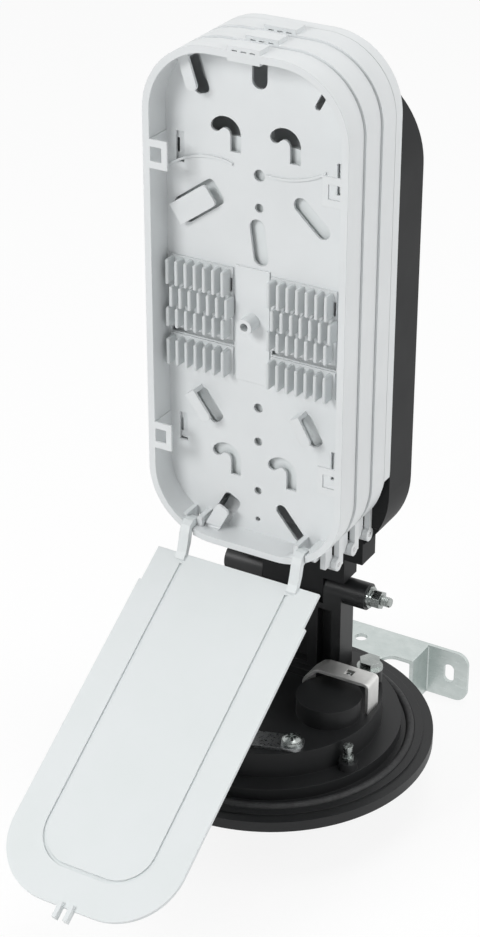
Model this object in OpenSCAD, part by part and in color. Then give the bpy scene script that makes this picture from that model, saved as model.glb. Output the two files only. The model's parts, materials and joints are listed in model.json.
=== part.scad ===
// Fibre splice closure with its dome taken off.
// The origin is the middle of the ground plane under the round base. X runs across the
// trays, -Y is the side the front tray faces, +Y is the wall side, and Z is up.

/* [Base] */
// Radius of the round base flange
flange_r = 96.5; // [92:0.5:110]
// Thickness of the base flange
flange_t = 7.6; // [7:0.2:10]
// Height of the flange's underside above the ground
port_drop = 35; // [31:1:50]
// Radius of the ring that stands on the flange
ring_r = 77.5; // [74:0.5:79]
// Height of the ring above the flange
ring_h = 7.4; // [6:0.2:10]
// Radius of the platform inside the dome
platform_r = 66; // [65:0.5:70]
// Height of the platform above the ring
platform_h = 16; // [12:0.5:20]
// Wall of the moulded base, seen from below
base_wall = 5; // [4:0.5:6]
// Number of ribs under the base
rib_count = 12; // [8:2:16]
// Cord thickness of the dome seal
seal_d = 5; // [4:0.2:6]
// Middle radius of the dome seal
seal_r = 83; // [82.5:0.5:86]

/* [Ports] */
// Radius of a round cable port
port_r = 9; // [7:0.5:10]
// Distance of a round port from the middle
port_pitch_r = 26; // [25:0.5:27]
// Radius of a large cable port
big_port_r = 14; // [12:0.5:15]
// Distance of a large port from the middle plane
big_port_x = 41; // [40:0.5:42]
// Distance of the large ports in front of the base's middle
big_port_front = 4; // [3:0.5:6]
// How far a large port stops above the ground
big_port_lift = 9; // [6:0.5:12]
// Radius of the tower that a large port rises in
tower_r = 19; // [17:0.5:19.5]
// Height of a port tower above the platform
tower_h = 12; // [8:0.5:12.5]

/* [Straps] */
// Height of a cable strap above the platform
strap_h = 20; // [18:0.5:24]
// Width of a cable strap
strap_w = 13; // [11:0.5:15]
// Thickness of the strap and tie plate steel
strap_t = 2; // [1.5:0.1:2.5]
// Side of the square hole in a strap
strap_hole = 5; // [4:0.5:6]
// Length of a tie plate between its two ends
tie_plate_l = 30; // [28:1:33]
// Width of a tie plate
tie_plate_w = 14; // [12:0.5:15]
// Diameter of a tie plate screw's head
pan_head_d = 12; // [10:0.5:13]
// Diameter of an earth bolt's head across its corners
earth_head_d = 14; // [12:0.5:15]

/* [Pillar and pivot] */
// Width of the pillar
pillar_w = 64; // [60:1:66]
// Front to back depth of the pillar
pillar_d = 16; // [14:0.5:18]
// Distance of the pillar's middle behind the base's middle
pillar_y = 34; // [33:0.5:35]
// Height of the pivot bolt above the platform
pivot_h = 59; // [56:1:62]
// Diameter of the pivot bolt
pivot_d = 6; // [5:0.5:7]
// How far the pivot's round head stands out at each side of the pillar
knuckle_l = 14.2; // [11:0.2:14.6]
// Running clearance round the pivot bolt, on the radius
pivot_clear = 0.08; // [0.05:0.01:0.1]

/* [Carrier] */
// Depth of the black carrier behind the trays
carrier_d = 27.5; // [24:0.5:32]
// Wall of the carrier
carrier_wall = 3; // [2.4:0.2:3.6]
// Corner radius of the carrier
carrier_r = 50; // [44:1:54]
// Height of the carrier's basket
carrier_l = 288; // [276:1:296]

/* [Trays] */
// Width of a splice tray
tray_w = 120; // [116:1:126]
// Height of a splice tray
tray_l = 287.6; // [282:0.2:294]
// Outer corner radius of a splice tray
tray_r = 40; // [38:1:42]
// Height of the trays' lower end above the flange's underside
tray_rise = 140.4; // [139:0.2:146]
// Depth of a tray's wide front part
skirt_d = 14.2; // [13:0.2:15]
// Whole depth of a tray
tray_d = 18.3; // [17.5:0.1:19]
// Distance from one tray to the next
tray_pitch = 18.6; // [18.6:0.1:20]
// Distance of the front tray's rim in front of the base's middle
front_rim = 32; // [31:0.5:33]
// Width of a tray's front rim
rim_w = 4; // [3:0.2:4.4]
// Thickness of a tray's floor
floor_t = 1.6; // [1.4:0.1:2.2]
// How far the tray's rear part stands back from its sides
ledge = 1.2; // [0.8:0.1:1.6]
// Height of a fibre retainer above the tray floor
tab_h = 9; // [7:0.5:10]

/* [Splice holders] */
// Number of ribs in a splice holder
comb_ribs = 7; // [5:1:8]
// Distance from rib to rib
comb_pitch = 5.7; // [5.4:0.1:6]
// Thickness of a rib
comb_rib_t = 1.6; // [1.2:0.1:2]
// Height of a rib above the tray floor
comb_h = 8; // [6:0.5:9]

/* [Lids] */
// Width of a tray lid
lid_w = 106; // [98:1:107]
// Length of a tray lid from its straight end to its tip
lid_l = 210; // [196:1:214]
// Thickness of a tray lid
lid_t = 2; // [1.6:0.1:2.4]
// Radius of a lid's corners at its tip
lid_r = 37; // [34:1:44]
// Distance of the lid's straight end from its hinge
lid_reach = 19; // [18:0.5:21]
// How far the front lid hangs open
lid_open = 122; // [110:1:122]

/* [Wall bracket] */
// Thickness of the bracket's steel
bracket_t = 2.5; // [2:0.1:3]
// Half width of the bracket's cross bar
bar_half = 41; // [38:0.5:44]
// Front to back width of the cross bar
bar_w = 24; // [22:0.5:26]
// Distance of the wall behind the base's middle
wall_y = 133; // [131:0.5:138]
// How far an ear reaches out from the cross bar
ear_l = 30; // [27:0.5:34]
// Width of the slot in an ear
ear_slot_w = 7; // [6:0.5:8]
// Length of the slot in an ear
ear_slot_l = 13; // [11:0.5:15]
// Diameter of the hole in the cross bar
bar_hole_d = 8; // [6:0.5:9]

/* [Hidden] */

$fn = 64;
gap = 0.3;
nip = 0.01;
sides = [-1, 1];
half = [-0.5, 0.5];

// Levels of the base
flange_z = port_drop;
ring_z = flange_z + flange_t;
ring_top = ring_z + ring_h;
deck_z = ring_top + platform_h;
pivot_z = deck_z + pivot_h;

// Levels and places of the trays
tray_z = flange_z + tray_rise;
tray_top = tray_z + tray_l;
tray_half = tray_w / 2;
function rim_y(n) = -front_rim + (n - 1) * tray_pitch;
function floor_y(n) = rim_y(n) + tray_d - floor_t;
plate_y = rim_y(4);
plate_t = 3;
carrier_y = plate_y + plate_t;

// The lid hinge, in the middle of the rim's lower edge
lid_pin_y = 8;
lid_pin_z = tray_z + 5.6;
lid_pin_d = 2.4;
lid_pin_clear = 0.06;
lid_barrel_r = 3.2;
lid_set = 5.4;
lid_neck = 22;
lid_neck_in = 1.6;
arm_x = 35.5;
arm_w = 6;
lug_t = 3;
lid_pin_half = arm_w / 2 + gap + lug_t;

// The tray hinge, below the tray's lower corners
tray_pin_z = tray_z - 3;
tray_pin_d = 3;
tray_pin_clear = 0.06;
tray_lug_r = 4;
tray_lug_t = 3.2;
tray_lug_x = 43;

black = [0.14, 0.14, 0.15];
soft_black = [0.2, 0.2, 0.21];
shell_white = [0.88, 0.89, 0.9];
holder_grey = [0.66, 0.67, 0.68];
zinc = [0.74, 0.77, 0.75];
steel = [0.68, 0.67, 0.67];
rubber = [0.08, 0.08, 0.08];

// A profile in the XZ plane, made thick along Y
module along_y(y, t) {
    translate([0, y + t, 0]) rotate([90, 0, 0]) linear_extrude(t) children();
}

// A profile in the YZ plane, made thick along X
module along_x(x, t) {
    translate([x, 0, 0]) rotate([90, 0, 90]) linear_extrude(t) children();
}

// A rod along X between two stations
module rod_x(x0, x1, d, y, z, fn = 48) {
    translate([x0, y, z]) rotate([0, 90, 0]) cylinder(h = x1 - x0, d = d, $fn = fn);
}

// A rod along Y that starts at y
module rod_y(x, y, z, d, l, fn = 48) {
    translate([x, y + l, z]) rotate([90, 0, 0]) cylinder(h = l, d = d, $fn = fn);
}

// Two copies, one on each side of the middle plane
module both() {
    children();
    mirror([1, 0, 0]) children();
}

// A rectangle with round corners that stands on y = 0
module panel(w, h, r) {
    translate([r - w / 2, 0]) square([w - 2 * r, h]);
    translate([-w / 2, r]) square([w, h - 2 * r]);
    for (s = sides, v = [r, h - r])
        translate([s * (w / 2 - r), v]) circle(r);
}

// A slot with round ends, turned by a from X
module slot(l, w, a = 0) {
    rotate(a) {
        square([l - w, w], center = true);
        for (s = half) translate([s * (l - w), 0]) circle(d = w, $fn = 32);
    }
}

// A rounded rectangle about its middle, turned by a from X
module pad(l, w, r, a = 0) {
    rotate(a) translate([0, -w / 2]) panel(l, w, r, $fn = 24);
}

// The lower edge of a tray at a distance x from its middle
function edge_z(x) = x <= tray_half - tray_r ? tray_z
    : tray_z + tray_r - sqrt(pow(tray_r, 2) - pow(x - tray_half + tray_r, 2));

// Base

port_clock = [-130, -50, 50, 130];
recess_r = ring_r - base_wall;
hub_r = 46;
core_r = 57;

module base_body() color(black) {
    difference() {
        union() {
            translate([0, 0, flange_z]) cylinder(h = flange_t - 1, r = flange_r, $fn = 128);
            translate([0, 0, flange_z]) cylinder(h = flange_t, r = flange_r - 6, $fn = 128);
            translate([0, 0, flange_z]) cylinder(h = flange_t + ring_h, r = ring_r, $fn = 128);
            translate([0, 0, flange_z]) cylinder(h = deck_z - flange_z, r = platform_r, $fn = 128);
            base_towers();
        }
        seal_groove();
        base_recess();
        for (s = sides) translate([s * bracket_bolt_x, bracket_bolt_y, flange_z - nip])
            cylinder(h = 5.5, d = 4, $fn = 32);
        for (s = sides) translate([s * earth_x, earth_y, deck_z - 2]) cylinder(h = 12, d = 5, $fn = 32);
        for (p = tie_screw_points) translate([p.x, p.y, deck_z - 3.5]) cylinder(h = 4, d = 4, $fn = 32);
        for (p = foot_screws) translate([p.x, p.y, deck_z - 3.5]) cylinder(h = 4, d = 4, $fn = 32);
    }
    base_ribs();
    base_ports();
}

module base_towers() {
    for (s = sides) translate([s * big_port_x, -big_port_front, deck_z - nip])
        cylinder(h = tower_h, r = tower_r);
    for (s = sides) translate([s * earth_x, earth_y, ring_z])
        cylinder(h = deck_z - ring_z + earth_boss_h, r = 7.5);
    translate([valve_x, valve_y, ring_top - nip]) cylinder(h = valve_boss_h, r = 5.5);
}

module seal_groove() {
    translate([0, 0, ring_z - 3]) difference() {
        cylinder(h = 4, r = seal_r + seal_d / 2 + 0.1, $fn = 128);
        translate([0, 0, -1]) cylinder(h = 6, r = seal_r - seal_d / 2 - 0.1, $fn = 128);
    }
}

module base_recess() {
    translate([0, 0, flange_z - 1]) difference() {
        cylinder(h = ring_top - flange_z - base_wall + 1, r = recess_r, $fn = 128);
        translate([0, 0, -1]) cylinder(h = 30, r = core_r + base_wall, $fn = 96);
    }
    translate([0, 0, flange_z - 1]) difference() {
        cylinder(h = deck_z - flange_z - base_wall + 1, r = core_r, $fn = 96);
        translate([0, 0, -1]) cylinder(h = 60, r = hub_r, $fn = 96);
        for (s = sides) translate([s * big_port_x, -big_port_front, -1]) cylinder(h = 60, r = tower_r);
    }
}

module base_ribs() {
    for (i = [0 : rib_count - 1]) rotate(i * 360 / rib_count + 180 / rib_count)
        translate([core_r + base_wall - 1, -1.25, flange_z])
            cube([recess_r - core_r - base_wall + 2, 2.5, ring_top - flange_z - base_wall + 0.5]);
}

module base_ports() {
    round_port();
    for (a = port_clock) rotate(a) translate([port_pitch_r, 0, 0]) round_port();
    for (s = sides) translate([s * big_port_x, -big_port_front, big_port_lift])
        cylinder(h = flange_z - big_port_lift + 1, r = big_port_r);
}

module round_port() {
    cylinder(h = flange_z + 1, r = port_r, $fn = 48);
    translate([0, 0, 12]) cylinder(h = 3, r = port_r + 1.2, $fn = 48);
}

// Seal, in the groove round the ring
module dome_seal() color(rubber)
    translate([0, 0, ring_z - 3 + seal_d / 2])
        rotate_extrude($fn = 128) translate([seal_r, 0]) circle(d = seal_d, $fn = 24);

// Tie plates in front, each held by one screw at its outer end

tie_angle = 18;
tie_end = [38.5, -43.5];
tie_screw_points = [for (s = sides) [s * tie_end.x, tie_end.y]];

module tie_plates() color(steel) both()
    translate([tie_end.x, tie_end.y, deck_z]) rotate(tie_angle) difference() {
        translate([-tie_plate_l / 2, 0]) linear_extrude(strap_t)
            pad(tie_plate_l + tie_plate_w, tie_plate_w, 5);
        translate([0, 0, -1]) cylinder(h = strap_t + 2, d = 4.2, $fn = 32);
        translate([-tie_plate_l + 2, 0, -1]) cylinder(h = strap_t + 2, d = 5, $fn = 32);
    }

module tie_screws() color(zinc) for (p = tie_screw_points)
    translate([p.x, p.y, deck_z + strap_t]) pan_screw(pan_head_d, 4.2, strap_t + 3.4, 3.9);

// A pan head screw with a cross recess, its seat at z = 0
module pan_screw(head_d, head_h, shank_l, shank_d) {
    difference() {
        union() {
            cylinder(h = head_h * 0.55, d = head_d);
            translate([0, 0, head_h * 0.55 - nip]) rotate_extrude() intersection() {
                translate([0, head_h * 0.45 - head_d * 0.72]) circle(head_d * 0.72);
                square([head_d / 2, head_h]);
            }
        }
        for (a = [0, 90]) rotate(a + 30) translate([-head_d * 0.3, -0.7, head_h * 0.5])
            cube([head_d * 0.6, 1.4, head_h]);
    }
    translate([0, 0, -shank_l]) cylinder(h = shank_l + nip, d = shank_d, $fn = 32);
}

// Straps over the port towers

strap_x0 = 19;
strap_x1 = 62;
strap_y = 11;
strap_slope_x = 28;
strap_slope_z = 11;

module strap_profile() {
    z1 = strap_h;
    polygon([[strap_x1, 0], [strap_x1, z1], [strap_slope_x, z1], [strap_x0, strap_slope_z],
        [strap_x0, 0], [strap_x0 + strap_t, 0], [strap_x0 + strap_t, strap_slope_z - 0.8],
        [strap_slope_x + 0.6, z1 - strap_t], [strap_x1 - strap_t, z1 - strap_t],
        [strap_x1 - strap_t, 0]]);
}

module strap_right() color(steel) difference() {
    translate([0, 0, deck_z]) along_y(strap_y - strap_w / 2, strap_w) strap_profile();
    translate([46.5 - strap_hole / 2, strap_y - strap_hole / 2, deck_z + strap_h - strap_t - 1])
        cube([strap_hole, strap_hole, strap_t + 2]);
}

module strap_left() mirror([1, 0, 0]) strap_right();

// Earth bolts behind the straps

earth_x = 46;
earth_y = 38;
earth_boss_h = 8;

module earth_bolts() color(zinc) for (s = sides)
    translate([s * earth_x, earth_y, deck_z + earth_boss_h]) {
        cylinder(h = 1.2, d = earth_head_d + 1.5);
        translate([0, 0, 1.2 - nip]) cylinder(h = 4.2, d = earth_head_d * 0.95, $fn = 6);
        translate([0, 0, -9.8]) cylinder(h = 10, d = 4.9, $fn = 32);
    }

// Air valve on the ring

valve_x = 66;
valve_y = -27;
valve_boss_h = 5;

module air_valve() color(zinc) translate([valve_x, valve_y, ring_top + valve_boss_h]) {
    cylinder(h = 3, d = 7, $fn = 6);
    cylinder(h = 7, d = 4.4, $fn = 32);
}

module valve_cap() color(zinc) translate([valve_x, valve_y, ring_top + valve_boss_h + 7])
    difference() {
        cylinder(h = 3.4, d = 5.6, $fn = 32);
        translate([-0.5, -3, 2.4]) cube([1, 6, 2]);
    }

// Pillar

foot_t = 5;
foot_w = 84;
foot_front = 13.5;
foot_back = 18;
foot_screws = [for (v = [[37, -8.5], [22, 12.8]], s = sides) [s * v.x, pillar_y + v.y]];
fork_half = 20;
bolt_end = pillar_w / 2 + knuckle_l;

module pillar() color(black) difference() {
    union() {
        translate([0, pillar_y, deck_z]) linear_extrude(foot_t)
            difference() {
                translate([0, -foot_front]) panel(foot_w, foot_front + foot_back, 4);
                for (s = sides) translate([s * (earth_x + 1), earth_y - pillar_y]) circle(9.4);
            }
        along_x(-pillar_w / 2, pillar_w) union() {
            translate([pillar_y - pillar_d / 2, deck_z + 1]) square([pillar_d, pivot_z - deck_z - 1]);
            translate([pillar_y, pivot_z]) circle(pillar_d / 2);
        }
        rod_x(-bolt_end, bolt_end, pillar_d, pillar_y, pivot_z, 64);
    }
    translate([-fork_half - gap, pillar_y - pillar_d, pivot_z - pillar_d / 2 - gap])
        cube([2 * (fork_half + gap), 2 * pillar_d, 2 * pillar_d]);
    for (v = [[-26, 9], [-10.5, 21], [17, 9]])
        translate([v.x, pillar_y - pillar_d / 2 - 1, deck_z + foot_t + 2])
            cube([v.y, 8, pivot_z - deck_z - foot_t - 14]);
    rod_x(-pillar_w, pillar_w, pivot_d + 2 * nip, pillar_y, pivot_z);
    rod_x(-pillar_w, -bolt_end + head_t + gap, head_pocket_d, pillar_y, pivot_z);
    for (p = foot_screws) translate([p.x, p.y, deck_z - 1])
        cylinder(h = foot_t + 2, d = 4.3, $fn = 32);
}

module pillar_screws() color(zinc) for (p = foot_screws)
    translate([p.x, p.y, deck_z + foot_t]) pan_screw(7.4, 3, foot_t + 3.4, 3.9);

// Pivot bolt, with washers and nut

head_w = 11.2;
head_t = 4.2;
head_pocket_d = 13.2;
washer_t = 1.6;

module pivot_bolt() color(zinc) {
    rod_x(-bolt_end + head_t, bolt_end + 14, pivot_d, pillar_y, pivot_z);
    rod_x(-bolt_end + gap, -bolt_end + head_t + gap, head_w, pillar_y, pivot_z, 6);
}

module pivot_washers() color(zinc) for (v = [[0, 13], [washer_t, 10.4]]) difference() {
    rod_x(bolt_end + v[0], bolt_end + v[0] + washer_t, v[1], pillar_y, pivot_z);
    rod_x(0, 100, pivot_d + 0.4, pillar_y, pivot_z);
}

module pivot_nut() color(zinc) difference() {
    rod_x(bolt_end + 2 * washer_t, bolt_end + 2 * washer_t + 5.2, head_w, pillar_y, pivot_z, 6);
    rod_x(0, 100, pivot_d, pillar_y, pivot_z);
}

// Wall bracket

bracket_bolt_x = 11;
bracket_bolt_y = 77;
tongue_half = 22;
tongue_y = 70;
bar_y = wall_y - bar_w;
ear_bottom = 0.5;

module wall_bracket() color(zinc) difference() {
    union() {
        translate([0, 0, flange_z - bracket_t]) linear_extrude(bracket_t) {
            translate([-tongue_half, tongue_y]) square([2 * tongue_half, bar_y - tongue_y + 1]);
            difference() {
                translate([-tongue_half - 8, bar_y - 8]) square([2 * tongue_half + 16, 9]);
                for (s = sides) translate([s * (tongue_half + 8), bar_y - 8]) circle(8);
            }
            translate([-bar_half, bar_y]) square([2 * bar_half, bar_w]);
        }
        both() {
            along_x(bar_half - bracket_t, bracket_t)
                translate([bar_y, ear_bottom]) square([bar_w, flange_z - ear_bottom]);
            along_y(wall_y - bracket_t, bracket_t) ear_profile();
        }
    }
    rod_z(0, bar_y + bar_w / 2 - 3, flange_z - bracket_t - 1, bar_hole_d, bracket_t + 2);
    for (s = sides) rod_z(s * bracket_bolt_x, bracket_bolt_y, flange_z - bracket_t - 1, 4.3, bracket_t + 2);
}

module ear_profile() {
    h = flange_z - ear_bottom;
    translate([bar_half - bracket_t, ear_bottom]) difference() {
        union() {
            square([ear_l - 8, h]);
            translate([0, 8]) square([ear_l, h - 16]);
            for (v = [8, h - 8]) translate([ear_l - 8, v]) circle(8);
        }
        translate([ear_l * 0.58, h * 0.53]) slot(ear_slot_l, ear_slot_w, 90);
    }
}

module rod_z(x, y, z, d, h) {
    translate([x, y, z]) cylinder(h = h, d = d, $fn = 48);
}

module bracket_bolts() color(zinc) for (s = sides)
    translate([s * bracket_bolt_x, bracket_bolt_y, flange_z - bracket_t]) {
        translate([0, 0, -1]) cylinder(h = 1, d = 9);
        translate([0, 0, -4]) cylinder(h = 3 + nip, d = 8, $fn = 6);
        cylinder(h = bracket_t + 5, d = 3.9, $fn = 32);
    }

// Carrier: an open-backed basket with its foot, and a tongue that the pivot bolt goes through

basket_drop = 26.4;
basket_z = tray_z - basket_drop;
foot_half = 45;
foot_low = basket_z + 1;
foot_top = tray_pin_z - tray_lug_r - 1;
neck_half = 33.5;
neck_z = pivot_z + pillar_d / 2 + 1;

module carrier() color(soft_black) difference() {
    union() {
        difference() {
            along_y(carrier_y, carrier_d) translate([0, basket_z]) panel(tray_w, carrier_l, carrier_r);
            along_y(carrier_y + carrier_wall, carrier_d) translate([0, basket_z + carrier_wall])
                panel(tray_w - 2 * carrier_wall, carrier_l - 2 * carrier_wall, carrier_r - carrier_wall);
        }
        along_y(pillar_y - pillar_d / 2, pillar_d) carrier_foot();
        along_x(-fork_half, 2 * fork_half) {
            translate([pillar_y, pivot_z]) circle(pillar_d / 2);
            translate([pillar_y - pillar_d / 2, pivot_z]) square([pillar_d, neck_z - pivot_z + 1]);
        }
        carrier_tabs();
    }
    rod_x(-100, 100, pivot_d + 2 * pivot_clear, pillar_y, pivot_z);
    both() rod_x(tray_lug_x - gap, tray_half, 2 * (tray_lug_r + gap), rim_y(4) + tray_pin_y, tray_pin_z);
    for (p = plate_screw_points) rod_y(p.x, carrier_y - nip, p.y, 3, carrier_wall + 1);
}

module carrier_foot() {
    translate([-foot_half, foot_low]) square([2 * foot_half, foot_top - foot_low]);
    translate([-neck_half, neck_z]) square([2 * neck_half, foot_low - neck_z + 1]);
}

module carrier_tabs() {
    for (s = sides, v = [106, 162, 218])
        translate([s * (tray_half - carrier_wall - 5) - 5.5, carrier_y + carrier_d - 2, basket_z + v - 8])
            cube([11, 2, 16]);
    for (v = [carrier_wall - 1, carrier_l - carrier_wall - 9])
        translate([-9, carrier_y + carrier_d - 2, basket_z + v]) cube([18, 2, 10]);
}

// Hinge plate between the last tray and the carrier

hinge_plate_z = 36;
plate_screw_points = [for (s = sides, v = [80, 230]) [s * 30, basket_z + v]];

module hinge_plate() color(shell_white) difference() {
    step = ledge - gap;
    union() {
        along_y(plate_y, plate_t) intersection() {
            translate([0, tray_z]) panel(tray_w, tray_l, tray_r);
            translate([-tray_w, tray_z + hinge_plate_z]) square([2 * tray_w, tray_l]);
        }
        along_y(plate_y - 4.1, 5) difference() {
            intersection() {
                translate([0, tray_z]) panel(tray_w, tray_l, tray_r);
                translate([-tray_w, tray_z + hinge_plate_z]) square([2 * tray_w, tray_l]);
            }
            translate([0, tray_z + step])
                panel(tray_w - 2 * step, tray_l - 2 * step, tray_r - step);
        }
        both() along_y(plate_y, plate_t) translate([tray_lug_x + tray_lug_t + gap, tray_pin_z])
            square([tray_lug_t, hinge_plate_z + 10]);
        both() along_x(tray_lug_x + tray_lug_t + gap, tray_lug_t)
            translate([plate_y + tray_pin_y, tray_pin_z]) circle(tray_lug_r, $fn = 32);
    }
    tray_pin_bore(3, 0);
    for (p = plate_screw_points) {
        rod_y(p.x, plate_y - 1, p.y, 3.2, plate_t + 2);
        rod_y(p.x, plate_y - 1, p.y, 7, 2.8);
    }
}

module hinge_plate_screws() color(zinc) for (p = plate_screw_points) {
    rod_y(p.x, plate_y + 0.2, p.y, 6.4, 1.6);
    rod_y(p.x, plate_y + 1, p.y, 2.9, plate_t - 1 + carrier_wall);
}

// Trays

tray_pin_y = 1;

module tray_pin_bore(n, clear) {
    rod_x(-60, 60, tray_pin_d + 2 * clear, rim_y(n + 1) + tray_pin_y, tray_pin_z);
}

module lid_bore(n, clear) {
    rod_x(-60, 60, lid_pin_d + 2 * clear, rim_y(n) + lid_pin_y, lid_pin_z);
}

// Retainers in the floor: place, length, width and turn. The upper ones keep their distance
// from the tray's top, and the outer ones from its sides.
retainers = [
    [23.5 - tray_half, tray_l - 21.6, 22, 9, -72], [24 - tray_half, tray_l - 91.6, 29, 15, 36],
    [29 - tray_half, 76.5, 21, 9, -53], [tray_half - 28, 77, 19, 9, -60], [-21, 12, 25, 11, 62]];
open_slots = [
    [tray_half - 29, tray_l - 88.1, 26, 8.5, -43], [0, tray_l - 108.1, 26, 9, -82],
    [20.5, 16, 24, 6.5, -50], [tray_half - 24.5, tray_l - 23.6, 12, 3.4, 62]];
floor_holes = [
    [0, tray_l - 70.6, 6.5], [0, tray_l - 88.6, 5], [0, 82.4, 5.5], [0, 61.7, 5],
    [0, 31, 4.5], [0, 13, 3]];
hook_points = [for (v = [tray_l - 51.6, 46], x = [-20.5, 14.5]) [x, v]];
clip_heights = [tray_l - 63.6, 59];
comb_edges = [6 - tray_half, tray_half - 52];
comb_z = 99.5;
comb_l = 63;
comb_low = 16.5;
comb_split = 4;
comb_w = comb_ribs * comb_pitch - 1;

// A hook shaped slot: a bend with a straight tail
module hook_slot(r = 6.4, w = 6.4, tail = 9) {
    difference() {
        circle(r + w / 2, $fn = 40);
        circle(r - w / 2, $fn = 40);
        translate([-20, -40]) square([40, 40]);
        polygon([[0, 0], [-20, 14], [-20, 0]]);
    }
    translate([r * cos(145), r * sin(145)]) circle(d = w - 0.2, $fn = 32);
    translate([r - w / 2 + 0.1, -tail]) square([w - 0.2, tail + 1]);
}

module tray(n) color(shell_white) difference() {
    union() {
        difference() {
            union() {
                along_y(rim_y(n), skirt_d) translate([0, tray_z]) panel(tray_w, tray_l, tray_r);
                along_y(rim_y(n) + 1, tray_d - 1) translate([0, tray_z + ledge])
                    panel(tray_w - 2 * ledge, tray_l - 2 * ledge, tray_r - ledge);
            }
            along_y(rim_y(n) - 1, tray_d - floor_t + 1) translate([0, tray_z + rim_w])
                panel(tray_w - 2 * rim_w, tray_l - 2 * rim_w, tray_r - rim_w);
            tray_holes(n);
            both() lid_notch(n);
        }
        tray_tabs(n);
        tray_trim(n);
        tray_clips(n);
        both() lid_lugs(n);
        both() tray_lugs(n);
    }
    lid_bore(n, 0);
    tray_pin_bore(n, tray_pin_clear);
    if (n > 1) tray_pin_bore(n - 1, 0);
}

module tray_holes(n) {
    along_y(floor_y(n) - 1, floor_t + 2) translate([0, tray_z]) {
        for (h = retainers) translate([h[0], h[1]]) pad(h[2], h[3], 3, h[4]);
        for (h = open_slots) translate([h[0], h[1]]) slot(h[2], h[3], h[4]);
        for (h = floor_holes) translate([h[0], h[1]]) circle(d = h[2], $fn = 32);
        for (h = hook_points) translate(h) hook_slot();
        for (x = comb_edges) {
            translate([x, comb_z + comb_low + 0.5]) square([comb_w, comb_split - 1]);
            translate([x + comb_w - comb_hole_in, comb_z + comb_hole_z]) square(comb_hole);
        }
        translate([0, tray_l - 15]) slot(18, 9, 90);
        for (s = sides, v = clip_heights) translate([s * 47.5, v]) square([5, 17], center = true);
    }
}

module tray_tabs(n) {
    for (h = retainers) {
        along_y(floor_y(n) - tab_h, 1.6) translate([h[0], tray_z + h[1]]) rotate(h[4])
            translate([-1.5, 0]) pad(h[2] - 5, h[3] - 2.5, 2.5);
        along_y(floor_y(n) - tab_h, tab_h + 0.5) translate([h[0], tray_z + h[1]]) rotate(h[4])
            translate([-h[2] / 2 - 1.6, 1.2 - h[3] / 2]) square([2.2, h[3] - 2.4]);
        along_y(floor_y(n) - tab_h, 1.6) translate([h[0], tray_z + h[1]]) rotate(h[4])
            translate([-h[2] / 2 - 1.6, 1.2 - h[3] / 2]) square([4, h[3] - 2.4]);
    }
}

module tray_trim(n) {
    // Two raised arcs and the plate between the splice holders
    along_y(floor_y(n) - 1, 1.5) translate([0, tray_z]) {
        intersection() {
            translate([32.6 - tray_half, tray_l - 108.4]) fibre_arc(43.6);
            translate([4 - tray_half, tray_l - 82.6]) square([40.5, 20]);
        }
        intersection() {
            translate([9.6, tray_l - 12.8]) fibre_arc(57.8);
            translate([4.6, tray_l - 73.6]) square([34.4, 14]);
        }
        translate([-13.6, comb_z - 2]) square([20.6, comb_l + 4]);
    }
    // Hollow screw boss on the middle line
    difference() {
        rod_y(-3.4, floor_y(n) - 10, tray_z + 134, 9, 10.5, 32);
        rod_y(-3.4, floor_y(n) - 11, tray_z + 134, 4.6, 9, 32);
    }
}

module fibre_arc(r) difference() {
    circle(r);
    circle(r - 1.4);
}

module tray_clips(n) {
    clip_w = 14;
    for (s = sides, v = clip_heights) translate([s * (tray_half - clip_w / 2 - 0.6), 0, tray_z + v]) {
        difference() {
            translate([-clip_w / 2, rim_y(n), -8]) cube([clip_w, 1.2, 16]);
            translate([-clip_w / 2 + 3.4, rim_y(n) - 1, -4]) cube([clip_w - 6.8, 4, 8]);
        }
        translate([s * clip_w / 2 - s * 2.4 - 1.4, rim_y(n), -8]) cube([2.8, tray_d - 1, 16]);
    }
    // Latch box at the top
    difference() {
        translate([-9.4, rim_y(n), tray_top - 5.5]) cube([18.8, 10, 8]);
        translate([-6.6, rim_y(n) - 1, tray_top - 2.6]) cube([13.2, 9, 3.2]);
    }
    for (s = sides) translate([s * 2.6 - 1, rim_y(n), tray_top - 3]) cube([2, 8, 4]);
}

// Gap in the lower edge that a lid arm swings through
module lid_notch(n) {
    translate([arm_x - arm_w / 2 - gap, rim_y(n) - 1, tray_z - 1])
        cube([arm_w + 2 * gap, tray_d - floor_t + 1, 14]);
}

module lid_lugs(n) {
    for (x = [arm_x - arm_w / 2 - gap - lug_t, arm_x + arm_w / 2 + gap])
        along_x(x, lug_t) {
            translate([rim_y(n) + lid_pin_y, lid_pin_z]) circle(3.4, $fn = 32);
            translate([rim_y(n) + lid_pin_y - 3.4, lid_pin_z]) square([6.8, 5.4]);
            translate([rim_y(n) + lid_pin_y, lid_pin_z - 3.4]) square([tray_d - lid_pin_y - 0.5, 8.8]);
        }
}

module tray_lugs(n) {
    // The lug that this tray turns on, and the lug that carries the tray in front
    along_x(tray_lug_x, tray_lug_t) {
        translate([rim_y(n + 1) + tray_pin_y, tray_pin_z]) circle(tray_lug_r, $fn = 32);
        translate([rim_y(n) + tray_d - 8, tray_pin_z]) square([7.6, edge_z(tray_lug_x) - tray_pin_z + 4]);
        translate([rim_y(n) + tray_d - 3, tray_pin_z]) square([4, tray_lug_r - 0.6]);
    }
    if (n > 1) along_x(tray_lug_x + tray_lug_t + gap, tray_lug_t) {
        translate([rim_y(n) + tray_pin_y, tray_pin_z]) circle(tray_lug_r, $fn = 32);
        translate([rim_y(n) + 1, tray_pin_z - 2])
            square([5, edge_z(tray_lug_x + 2 * tray_lug_t) - tray_pin_z + 6]);
    }
}

module tray_1() tray(1);
module tray_2() tray(2);
module tray_3() tray(3);

// Splice holders: two combs of ribs on each tray. Each row is its height, length and shift.

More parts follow.
